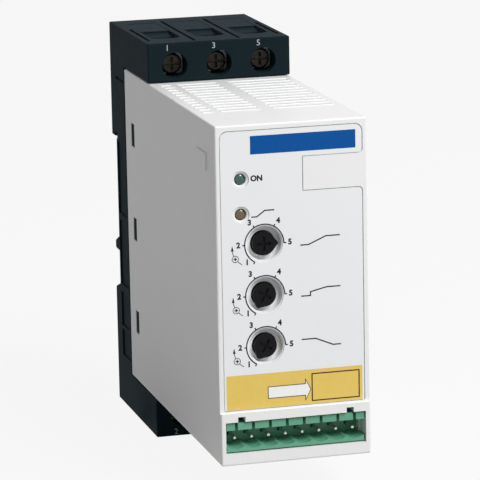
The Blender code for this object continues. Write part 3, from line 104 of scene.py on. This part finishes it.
def moulded(name, colours, gloss, grain_mm, grain_depth_mm, ior=1.53, specular=0.5):
    """A moulded plastic: two close tones in soft clouds under the fine grain of the tool.

    gloss is the lowest and highest roughness over the surface, and specular the strength of
    its mirror part, lower where the grain swallows it. A tool's grain is near 0.1 mm, and
    grain_mm is several times that, so that it shows.
    """
    material, tree, shader = new_material(name, IOR=ior, Specular_IOR_Level=specular)
    flow_mm, sheen_mm = 22, 3
    place = add(tree, "ShaderNodeTexCoord").outputs["Object"]
    flow = add(tree, "ShaderNodeTexNoise",
               sockets={"Vector": place, "Scale": features(flow_mm), "Detail": 3.0})
    sheen = add(tree, "ShaderNodeTexNoise",
                sockets={"Vector": place, "Scale": features(sheen_mm), "Detail": 4.0})
    drift(tree, shader, flow.outputs["Fac"], colours, sheen.outputs["Fac"], gloss)
    grain = add(tree, "ShaderNodeTexNoise",
                sockets={"Vector": place, "Scale": features(grain_mm), "Detail": 2.0})
    relief = add(tree, "ShaderNodeBump",
                 sockets={"Height": grain.outputs["Fac"], "Distance": grain_depth_mm / 1000})
    tree.links.new(relief.outputs["Normal"], shader.inputs["Normal"])
    return material


def dress(material, *names):
    """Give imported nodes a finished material."""
    for name in names:
        nodes[name].material_slots[0].material = material


black_polyamide = moulded("glass_filled_polyamide", ("111D22", "17252B"), (0.7, 0.82),
                          grain_mm=0.5, grain_depth_mm=0.006, specular=0.055)
dress(black_polyamide, "rear_base", "rail_latch")


# Cable ramps and snap hooks. Parts of the black base moulding. Behind each cable mouth the
# floor rises to the pad where the cable lies. The hooks fill the slots in the cover's sides.

def mesh_from(bm, name):
    """Take a finished bmesh over into a named mesh."""
    mesh = bpy.data.meshes.new(name)
    bm.to_mesh(mesh)
    bm.free()
    return mesh


def housing_piece(name, mesh, material):
    """Put a mesh into the scene as a piece that is fixed to the housing."""
    mesh.materials.clear()
    mesh.materials.append(material)
    piece = bpy.data.objects.new(name, mesh)
    bpy.context.scene.collection.objects.link(piece)
    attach(piece, "housing")
    return piece


def prisms(name, shapes, material):
    """Closed prisms along X, each given by its side view in Y and Z and its two ends in X."""
    bm = bmesh.new()
    for outline, x_low, x_high in shapes:
        near = [bm.verts.new((x_low, y, z)) for y, z in outline]
        far = [bm.verts.new((x_high, y, z)) for y, z in outline]
        bm.faces.new(near)
        bm.faces.new(far[::-1])
        for i in range(len(outline)):
            bm.faces.new((near[i - 1], near[i], far[i], far[i - 1]))
    bmesh.ops.recalc_face_normals(bm, faces=bm.faces)
    housing_piece(name, mesh_from(bm, name), material)


middle_z = -0.0091
pole_xs = (-0.014, 0.0, 0.014)
ramp_half_width = 0.0046
# Side view of a ramp and its pad: a place along Y, and a distance from the device's middle
ramp_outline = ((-0.02555, 0.05962), (-0.02005, 0.05962), (-0.02005, 0.06142),
                (-0.0025, 0.06142), (-0.0025, 0.06192), (-0.0203, 0.06192),
                (-0.0203, 0.06135), (-0.02555, 0.06059))
ramps = [([(y, middle_z + side * rise) for y, rise in ramp_outline],
          x - ramp_half_width, x + ramp_half_width)
         for side in (1, -1) for x in pole_xs]
prisms("cable_ramps", ramps, black_polyamide)

hook_front, hook_rear = -0.02525, -0.0214
hook_root, hook_tip = 0.02163, 0.02235
hook_half_height = 0.0035
hook_pitch = 0.0301
hooks = []
for side in (1, -1):
    for row in (-1, 0, 1):
        low = middle_z + row * hook_pitch - hook_half_height
        high = low + 2 * hook_half_height
        hooks.append(([(hook_front, low), (hook_rear, low), (hook_rear, high), (hook_front, high)],
                      *sorted((side * hook_root, side * hook_tip))))
prisms("snap_hooks", hooks, black_polyamide)


# Terminals. Tin-plated copper strips are pressed into the base. On each one a zinc-plated
# steel washer with two turned-up edges is driven by a nickel-plated screw, M4 with a pitch
# of 0.7 mm, whose crossed head shows in its hole.

def clouded(name, colours, gloss, cloud_mm, detail, **constants):
    """A material whose colour and gloss drift together in soft clouds of one size."""
    material, tree, shader = new_material(name, **constants)
    place = add(tree, "ShaderNodeTexCoord").outputs["Object"]
    cloud = add(tree, "ShaderNodeTexNoise",
                sockets={"Vector": place, "Scale": features(cloud_mm), "Detail": detail})
    drift(tree, shader, cloud.outputs["Fac"], colours, cloud.outputs["Fac"], gloss)
    return material


terminals = range(1, 7)
tinned_copper = clouded("tinned_copper", ("C6C4BE", "E2E0DA"), (0.24, 0.4),
                        cloud_mm=2.5, detail=5.0, Metallic=1.0)
dress(tinned_copper, *[f"terminal_strip_{i}" for i in terminals])

# The heads stand in deep holes, where they look dark and warm. The plating's tones are set low as
# painted shade for those holes, not the plating's own colour
nickel = clouded("nickel_plated_steel", ("1F1D1B", "45413C"), (0.26, 0.45),
                 cloud_mm=1.6, detail=6.0, Metallic=1.0)
# The thread is a relief of 0.7 mm rings on the shank, behind the washer's front face
thread_pitch, thread_depth = 0.0007, 0.0006
clamp_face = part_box("terminal_clamp_1")[0].y
tree = nickel.node_tree
place = add(tree, "ShaderNodeTexCoord").outputs["Object"]
along = add(tree, "ShaderNodeSeparateXYZ", sockets={"Vector": place}).outputs["Y"]
turns = add(tree, "ShaderNodeMath", {"operation": "MULTIPLY"}, {0: along, 1: 1 / thread_pitch})
flank = add(tree, "ShaderNodeMath", {"operation": "PINGPONG"}, {0: turns.outputs[0], 1: 0.5})
behind = add(tree, "ShaderNodeMath", {"operation": "GREATER_THAN"}, {0: along, 1: clamp_face})
cut = add(tree, "ShaderNodeMath", {"operation": "MULTIPLY"},
          {0: flank.outputs[0], 1: behind.outputs[0]})
relief = add(tree, "ShaderNodeBump", sockets={"Height": cut.outputs[0], "Distance": thread_depth})
tree.links.new(relief.outputs["Normal"], tree.nodes["Principled BSDF"].inputs["Normal"])
dress(nickel, *[f"terminal_screw_{i}" for i in terminals])

zinc, tree, shader = new_material("zinc_plated_steel", Metallic=1.0)
place = add(tree, "ShaderNodeTexCoord").outputs["Object"]
spangle = add(tree, "ShaderNodeTexVoronoi", sockets={"Vector": place, "Scale": features(0.8)})
drift(tree, shader, spangle.outputs["Distance"], ("B9BCBE", "D5D7D8"),
      spangle.outputs["Distance"], (0.28, 0.4))
dress(zinc, *[f"terminal_clamp_{i}" for i in terminals])


# Latch spring. Six turns of cold-drawn spring steel wire, bright with faint draw marks. It
# stands in a bore of the base under the latch.

spring_steel = clouded("drawn_spring_steel", ("8E8F90", "B2B3B4"), (0.22, 0.38),
                       cloud_mm=0.3, detail=3.0, Metallic=1.0)

coil_low, coil_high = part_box("latch_spring")
wire_radius = 0.0003
coil_radius = (coil_high.x - coil_low.x) / 2 - wire_radius
coil_y = (coil_low.y + coil_high.y) / 2
coil_length = coil_high.z - coil_low.z
coil_turns, steps_per_turn, wire_sides = 6, 24, 10
last_step = coil_turns * steps_per_turn
bm = bmesh.new()
rings = []
for step in range(last_step + 1):
    turn_angle = 2 * math.pi * step / steps_per_turn
    middle = coil_low.z + wire_radius + (coil_length - 2 * wire_radius) * step / last_step
    ring = []
    for side in range(wire_sides):
        wire_angle = 2 * math.pi * side / wire_sides
        reach = coil_radius + wire_radius * math.cos(wire_angle)
        ring.append(bm.verts.new((reach * math.cos(turn_angle),
                                  coil_y + reach * math.sin(turn_angle),
                                  middle + wire_radius * math.sin(wire_angle))))
    rings.append(ring)
for here, after in zip(rings, rings[1:]):
    for side in range(wire_sides):
        bm.faces.new((here[side - 1], here[side], after[side], after[side - 1])).smooth = True
bm.faces.new(rings[0])
bm.faces.new(rings[-1][::-1])
bmesh.ops.recalc_face_normals(bm, faces=bm.faces)
latch_coil = housing_piece("latch_coil", mesh_from(bm, "latch_coil"), spring_steel)
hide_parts("latch_spring")
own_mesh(latch_coil)


# Boards. Glass-fibre laminate under a green solder mask, with copper tracks that show as
# paler runs. They stand behind the front, on the base and along the right side.

laminate, tree, shader = new_material("solder_masked_laminate", IOR=1.55)
place = add(tree, "ShaderNodeTexCoord").outputs["Object"]
sides = add(tree, "ShaderNodeSeparateXYZ", sockets={"Vector": place})
plane = add(tree, "ShaderNodeCombineXYZ",
            sockets={"X": sides.outputs["Z"], "Y": sides.outputs["X"]})
# One unit of the brick pattern is 10 mm. Its rows are 1.6 mm apart, and its joints, which
# stand for the tracks, are 0.6 mm wide.
tracks = add(tree, "ShaderNodeTexBrick", {"offset": 0.37, "squash": 0.6},
             {"Vector": plane.outputs["Vector"], "Scale": features(10), "Mortar Size": 0.03,
              "Brick Width": 0.7, "Row Height": 0.16})
weave = add(tree, "ShaderNodeTexNoise",
            sockets={"Vector": place, "Scale": features(0.6), "Detail": 2.0})
drift(tree, shader, tracks.outputs["Fac"], ("1D5A34", "3C8A55"), weave.outputs["Fac"], (0.3, 0.45))
track_thickness = 0.00004
relief = add(tree, "ShaderNodeBump",
             sockets={"Height": tracks.outputs["Fac"], "Distance": track_thickness})
tree.links.new(relief.outputs["Normal"], shader.inputs["Normal"])
dress(laminate, "control_board", "power_board", "driver_board")


# Power parts on the boards. The thyristor modules, resistors and transformer are transfer
# moulded in a dull dark grey epoxy, the relays and capacitors have glossy blue cases, and the
# heatsink is extruded aluminium, with fine draw lines along its length.

epoxy = moulded("epoxy_moulding_compound", ("2C2D2F", "37383A"), (0.55, 0.7),
                grain_mm=0.4, grain_depth_mm=0.01, ior=1.6)
dress(epoxy, "thyristor_module_1", "thyristor_module_2", "supply_transformer",
      "start_time_pot", "start_level_pot", "stop_time_pot")
relay_case = moulded("polybutylene_case", ("26406F", "2E4B80"), (0.22, 0.34),
                     grain_mm=0.6, grain_depth_mm=0.002)
dress(relay_case, "bypass_relay_1", "bypass_relay_2", "supply_capacitor_1", "supply_capacitor_2")

aluminium, tree, shader = new_material("extruded_aluminium", Metallic=1.0)
place = add(tree, "ShaderNodeTexCoord").outputs["Object"]
# Lines 0.25 mm wide and fifty times as long
drawn = add(tree, "ShaderNodeMapping", sockets={"Vector": place, "Scale": (1.0, 1.0, 0.02)})
lines = add(tree, "ShaderNodeTexNoise",
            sockets={"Vector": drawn.outputs["Vector"], "Scale": features(0.25), "Detail": 3.0})
drift(tree, shader, lines.outputs["Fac"], ("C4C6C8", "DADCDD"), lines.outputs["Fac"], (0.3, 0.48))
dress(aluminium, "heatsink")


# Cover. Plain white polycarbonate blend, moulded in one piece with its louvres, wells and
# snap slots. The grain is fine, so that the faces look even and satin, and lean to no hue.

white_cover = moulded("polycarbonate_blend", ("E8E9E8", "ECECEC"), (0.36, 0.46),
                      grain_mm=0.45, grain_depth_mm=0.003, ior=1.55)
dress(white_cover, "front_cover")

# A low rounded lip stands along the front edge of every louvre, above and below. Its foot is
# a hair off the cover's face, so that the two faces don't show through each other.
louvre_rows, louvre_pitch, first_louvre_y = 12, 0.00455, -0.0508
lip_columns = ((-0.0198, -0.0166), (-0.0145, -0.0027), (0.0013, 0.0196))
cover_rise, hair, lip_radius = 0.04965, 0.00001, 0.00024
half_round = [math.radians(degrees) for degrees in range(0, 181, 30)]
lips = []
for side in (1, -1):
    for row in range(louvre_rows):
        middle_y = first_louvre_y - louvre_pitch * row - lip_radius
        arch = [(middle_y + lip_radius * math.cos(angle),
                 middle_z + side * (cover_rise + hair + lip_radius * math.sin(angle)))
                for angle in half_round]
        lips += [(arch, left, right) for left, right in lip_columns]
prisms("louvre_lips", lips, white_cover)


# Plug-in header. Green polybutylene terephthalate, glossy and slightly milky, snapped into
# the cover's window. Its eight square pins are tinned, and pressed through its back.

header_green = moulded("polybutylene_terephthalate", ("569879", "63A487"), (0.3, 0.42),
                       grain_mm=0.5, grain_depth_mm=0.003)
dress(header_green, "control_header")
dress(tinned_copper, *[f"header_pin_{i}" for i in range(1, 9)])


# Signal lamps. Clear tinted acrylic rods with a domed end, which look dark when they are off
# and carry a bright spot from the light above.

def tinted_acrylic(name, *tints):
    """A clear cast plastic under a slick skin, whose tint clouds over its depth."""
    return clouded(name, tints, (0.1, 0.25), cloud_mm=1.2, detail=2.0, IOR=1.49,
                   Transmission_Weight=0.35, Coat_Weight=0.6, Coat_Roughness=0.04)


dress(tinted_acrylic("green_acrylic", "3F7561", "1F4638"), "power_lamp")
dress(tinted_acrylic("amber_acrylic", "85764A", "574B28"), "run_lamp")


# Adjusting knobs. Black acetal with a pointer nose and a shallow cross for a screwdriver.
# Acetal is slick, so the faces catch soft light while the moulded grain stays dull.

acetal = moulded("black_acetal", ("0C0C0E", "131316"), (0.36, 0.5),
                 grain_mm=0.4, grain_depth_mm=0.004, ior=1.48, specular=0.12)
dress(acetal, "start_time_knob", "start_level_knob", "stop_time_knob")


# Label film. White polyester with a light satin skin, glued in its recess on the cover.

label_film = moulded("polyester_film", ("E6E8EA", "EAECEE"), (0.3, 0.38),
                     grain_mm=0.9, grain_depth_mm=0.0006, ior=1.6)
dress(label_film, "front_label")


# Print on the label. Screen-printed inks, which lie on the film as a thin even coat: a blue
# band above, a yellow band below, and the dials with their ticks and plain numbers.

label_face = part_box("front_label")[0].y
cover_left = -0.0225
cover_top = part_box("front_cover")[1].z
ink_coat = 0.00002


def ink(name, *tones):
    """A printed ink: nearly even, with the faint mottle of the mesh or pad it came off."""
    return clouded(name, tones, (0.34, 0.46), cloud_mm=1.5, detail=4.0,
                   IOR=1.5, Specular_IOR_Level=0.15)


blue_ink = ink("blue_screen_ink", "004A93", "06539C")
yellow_ink = ink("yellow_screen_ink", "E2C05E", "E8CA70")
black_ink = ink("black_screen_ink", "141517", "1C1E20")
brown_ink = ink("brown_screen_ink", "30230F", "3A2B14")
white_ink = ink("white_screen_ink", "F0F0EE", "F6F6F4")


def from_corner(x_mm, down_mm):
    """A place on the front, in millimetres from the cover's upper left corner."""
    return cover_left + x_mm / 1000, cover_top - down_mm / 1000


def print_areas(name, outlines, material, layer=1):
    """Flat printed areas, given by outlines in X and Z, so many coats of ink off the label."""
    bm = bmesh.new()
    for outline in outlines:
        bm.faces.new([bm.verts.new((x, label_face - layer * ink_coat, z)) for x, z in outline])
    bmesh.ops.recalc_face_normals(bm, faces=bm.faces)
    for area in bm.faces:
        if area.normal.y > 0:
            area.normal_flip()
    housing_piece(name, mesh_from(bm, name), material)


def drawn_line(points, width, closed=False):
    """The outline of each stretch of a line of that width, with mitred joints."""
    count = len(points)
    lefts, rights = [], []
    for i, point in enumerate(points):
        before = points[i - 1] if closed or i > 0 else None
        after = points[(i + 1) % count] if closed or i < count - 1 else None
        directions = []
        if before:
            directions.append((Vector(point) - Vector(before)).normalized())
        if after:
            directions.append((Vector(after) - Vector(point)).normalized())
        normals = [Vector((-d.y, d.x)) for d in directions]
        mitre = sum(normals, Vector((0.0, 0.0))).normalized()
        reach = width / 2 / max(0.3, mitre.dot(normals[0]))
        lefts.append(Vector(point) + mitre * reach)
        rights.append(Vector(point) - mitre * reach)
    last = count if closed else count - 1
    return [[lefts[i], lefts[(i + 1) % count], rights[(i + 1) % count], rights[i]]
            for i in range(last)]


def rectangle(x_mm, down_mm, to_x_mm, to_down_mm):
    """The four corners of an upright rectangle on the front."""
    left, top = from_corner(x_mm, down_mm)
    right, bottom = from_corner(to_x_mm, to_down_mm)
    return [(left, bottom), (right, bottom), (right, top), (left, top)]


print_areas("blue_band", [rectangle(10.4, 3.4, 41.6, 8.7)], blue_ink)
print_areas("yellow_band", [rectangle(2.1, 72.9, 42.9, 83.1)], yellow_ink)
print_areas("yellow_box_line",
            drawn_line(rectangle(27.7, 74.2, 41.9, 82.2), 0.00035, closed=True),
            brown_ink, layer=2)

arrow_mm = ((14.5, 77.0), (25.7, 77.0), (25.7, 75.6), (27.3, 78.7), (25.7, 81.8),
            (25.7, 80.4), (14.5, 80.4))
arrow = [from_corner(x, down) for x, down in arrow_mm]
print_areas("arrow_fill", [arrow], white_ink, layer=2)
print_areas("arrow_line", drawn_line(arrow, 0.0002, closed=True), brown_ink, layer=3)


# How far the letters' edges move out, as a share of their size. At this share Blender keeps
# the numbers 1 to 5 and the word whole, which it doesn't at every other.
bold_edge = 0.045


def print_words(name, words, middle, cap_height, material, face=label_face,
                bolder=bold_edge):
    """Printed numbers or words, centred on a place, as tall as their capitals should be."""
    lettering = bpy.data.curves.new(name, "FONT")
    lettering.body = words
    lettering.offset = bolder
    drawing = bpy.data.objects.new(name, lettering)
    bpy.context.scene.collection.objects.link(drawing)
    graph = bpy.context.evaluated_depsgraph_get()
    mesh = bpy.data.meshes.new_from_object(drawing.evaluated_get(graph))
    bpy.data.objects.remove(drawing, do_unlink=True)
    bpy.data.curves.remove(lettering)
    corners = [vert.co for vert in mesh.vertices]
    low_x, high_x = min(c.x for c in corners), max(c.x for c in corners)
    low_y, high_y = min(c.y for c in corners), max(c.y for c in corners)
    scale = cap_height / (high_y - low_y)
    for vert in mesh.vertices:
        x = middle[0] + (vert.co.x - (low_x + high_x) / 2) * scale
        z = middle[1] + (vert.co.y - (low_y + high_y) / 2) * scale
        vert.co = (x, face - ink_coat, z)
    housing_piece(name, mesh, material)


def on_circle(middle, radius, degrees):
    """A point on a circle on the front, its angle counted from the right and upwards."""
    angle = math.radians(degrees)
    return middle[0] + radius * math.cos(angle), middle[1] + radius * math.sin(angle)


def beside(middle, places_mm):
    """Places given in millimetres to the right of and above a dial's middle."""
    return [(middle[0] + across / 1000, middle[1] + up / 1000) for across, up in places_mm]


line_width = 0.00036
number_height = 0.00175
dial_x_mm = 14.1
dial_downs_mm = {"start_time": 34.9, "start_level": 49.9, "stop_time": 64.9}
dial_sweep, tick_step, arc_step = 240, 60, 5
arc_radius, tick_end_radius = 0.0058, 0.0065
number_places_mm = ((-5.15, -4.9), (-7.7, 0.2), (-4.3, 6.6), (4.2, 6.7), (7.6, 0.2))
# Which way a dial's value rises: a plus in a ring, on an arrow that bends upwards
ring_place_mm = (-8.65, -3.8)
ring_radius, plus_radius, ring_step = 0.00095, 0.00055, 15
ring_width, stem_width, plus_width = 0.00018, 0.0002, 0.0003
lower_stem_mm = ((-6.65, -5.5), (-7.3, -5.1), (-7.9, -4.55))
upper_stem_mm = ((-9.1, -2.95), (-9.35, -2.2), (-9.5, -1.45))
arrow_head_mm = ((-9.5, 0.1), (-9.92, -1.45), (-9.08, -1.45))
for dial, down in dial_downs_mm.items():
    middle = from_corner(dial_x_mm, down)
    strokes = drawn_line([on_circle(middle, arc_radius, degrees)
                          for degrees in range(0, dial_sweep + 1, arc_step)], line_width)
    for degrees in range(0, dial_sweep + 1, tick_step):
        strokes += drawn_line([on_circle(middle, arc_radius, degrees),
                               on_circle(middle, tick_end_radius, degrees)], line_width)
    print_areas(f"{dial}_dial", strokes, black_ink)
    for number, place in enumerate(beside(middle, number_places_mm), start=1):
        print_words(f"{dial}_number_{number}", str(number), place, number_height, black_ink)
    ring_middle = beside(middle, [ring_place_mm])[0]
    ring = [on_circle(ring_middle, ring_radius, degrees) for degrees in range(0, 360, ring_step)]
    marks = drawn_line(ring, ring_width, closed=True)
    marks += drawn_line(beside(middle, lower_stem_mm), stem_width)
    marks += drawn_line(beside(middle, upper_stem_mm), stem_width)
    for degrees in (180, 270):
        marks += drawn_line([on_circle(ring_middle, plus_radius, degrees),
                             on_circle(ring_middle, plus_radius, degrees - 180)], plus_width)
    print_areas(f"{dial}_rise_mark", marks + [beside(middle, arrow_head_mm)], black_ink)

# Right of the dials, the shape of what each one sets: a rise, a first step and a fall
ramp_marks_mm = {
    "start_time": [(24.8, 1.1), (27.2, 1.1), (32.4, -1.1), (36.6, -1.1)],
    "start_level": [(24.8, 1.1), (27.6, 1.1), (27.6, 0.0), (32.4, -1.1), (36.6, -1.1)],
    "stop_time": [(24.8, -1.1), (29.0, -1.1), (34.2, 1.1), (36.6, 1.1)],
}
for dial, points in ramp_marks_mm.items():
    outline = [from_corner(x, dial_downs_mm[dial] + down) for x, down in points]
    print_areas(f"{dial}_mark", drawn_line(outline, line_width), black_ink)

# Beside the green lamp a word, and beside the amber one a rise to the full level
print_words("power_lamp_word", "ON", from_corner(12.1, 15.6), number_height, black_ink)
full_mm = ((10.4, 26.8), (12.0, 26.8), (14.4, 25.1), (17.2, 25.1))
print_areas("run_lamp_mark", drawn_line([from_corner(x, down) for x, down in full_mm], line_width),
            black_ink)


# Numbers on the terminal blocks. Pad-printed in pale grey on the front of each block, beside
# the screw that they belong to: odd ones on the supply side above, even on the motor side.

grey_ink = ink("pale_grey_pad_ink", "AEB4B8", "BBC0C3")
block_face = -0.0458
block_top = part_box("rear_base")[1].z
block_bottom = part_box("rear_base")[0].z
terminal_number_height, from_edge = 0.0018, 0.0015
for column, x_mm in enumerate((6.2, 20.8, 35.0)):
    for number, z in ((2 * column + 1, block_top - from_edge),
                      (2 * column + 2, block_bottom + from_edge)):
        print_words(f"terminal_number_{number}", str(number), (cover_left + x_mm / 1000, z),
                    terminal_number_height, grey_ink, block_face, bolder=0.0)


# Studio. The part lies on a pale table in soft daylight from above and to the right, with
# plain light all round. The table and the room are white to the camera and to reflections.

def shown(tree):
    """1 for a ray that comes from the camera, through clear plastic or off a gloss, else 0."""
    ray = add(tree, "ShaderNodeLightPath")
    seen = add(tree, "ShaderNodeMath", {"operation": "MAXIMUM"},
               {0: ray.outputs["Is Camera Ray"], 1: ray.outputs["Is Transmission Ray"]})
    mirrored = add(tree, "ShaderNodeMath", {"operation": "MAXIMUM"},
                   {0: seen.outputs[0], 1: ray.outputs["Is Glossy Ray"]})
    return mirrored.outputs[0]


studio = bpy.context.scene
studio.view_settings.view_transform = "Standard"
room = bpy.data.worlds.new("pale_room")
room.use_nodes = True
studio.world = room
tree = room.node_tree
background = tree.nodes["Background"]
background.inputs["Color"].default_value = linear("FFFFFF")
# As a light on the part, the room has a fifth of the strength that it shows
level = add(tree, "ShaderNodeMapRange",
            sockets={"Value": shown(tree), "To Min": 0.2, "To Max": 1.0})
tree.links.new(level.outputs["Result"], background.inputs["Strength"])

table = bpy.data.materials.new("pale_table")
table.use_nodes = True
tree = table.node_tree
tree.nodes.clear()
paper = add(tree, "ShaderNodeBsdfDiffuse", sockets={"Color": linear("BCBCBB")})
white = add(tree, "ShaderNodeEmission", sockets={"Color": linear("FFFFFF"), "Strength": 1.0})
# Nine tenths of what it shows is plain white, and the rest keeps the part's shadow
share = add(tree, "ShaderNodeMath", {"operation": "MULTIPLY"}, {0: shown(tree), 1: 0.9})
blend = add(tree, "ShaderNodeMixShader",
            sockets={0: share.outputs[0], 1: paper.outputs[0], 2: white.outputs[0]})
add(tree, "ShaderNodeOutputMaterial", sockets={"Surface": blend.outputs[0]})
table_half_width, table_gap = 4.0, 0.0001
bm = bmesh.new()
bmesh.ops.create_grid(bm, x_segments=1, y_segments=1, size=table_half_width)
table_mesh = mesh_from(bm, "table")
table_mesh.materials.append(table)
table_top = bpy.data.objects.new("table", table_mesh)
table_top.location = (0.0, 0.0, block_bottom - table_gap)
studio.collection.objects.link(table_top)

# A square window lamp, which lights a white surface that faces it a little above full white
part_middle = Vector((0.0, -0.06, -0.01))
window_side = Vector((0.4, -0.65, 0.8)).normalized()
window_distance, window_size, share_of_full = 1.6, 0.8, 1.08
lamp = bpy.data.lights.new("window_light", "AREA")
lamp.size = window_size
lamp.energy = share_of_full * (math.pi * window_distance) ** 2
window = bpy.data.objects.new("window_light", lamp)
window.location = part_middle + window_side * window_distance
window.rotation_euler = window_side.to_track_quat("Z", "Y").to_euler()
studio.collection.objects.link(window)

# The camera's place and angles are a fit to the part's corners in the photograph
lens = bpy.data.cameras.new("camera")
lens.sensor_width = 36.0
lens.lens = 238.4
lens.clip_start = 0.05
lens.clip_end = 20.0
camera = bpy.data.objects.new("camera", lens)
camera.location = (-0.24521, -0.97672, 0.19818)
camera.rotation_euler = Euler([math.radians(a) for a in (77.808, 1.082, -15.306)], "XYZ")
studio.collection.objects.link(camera)
studio.camera = camera
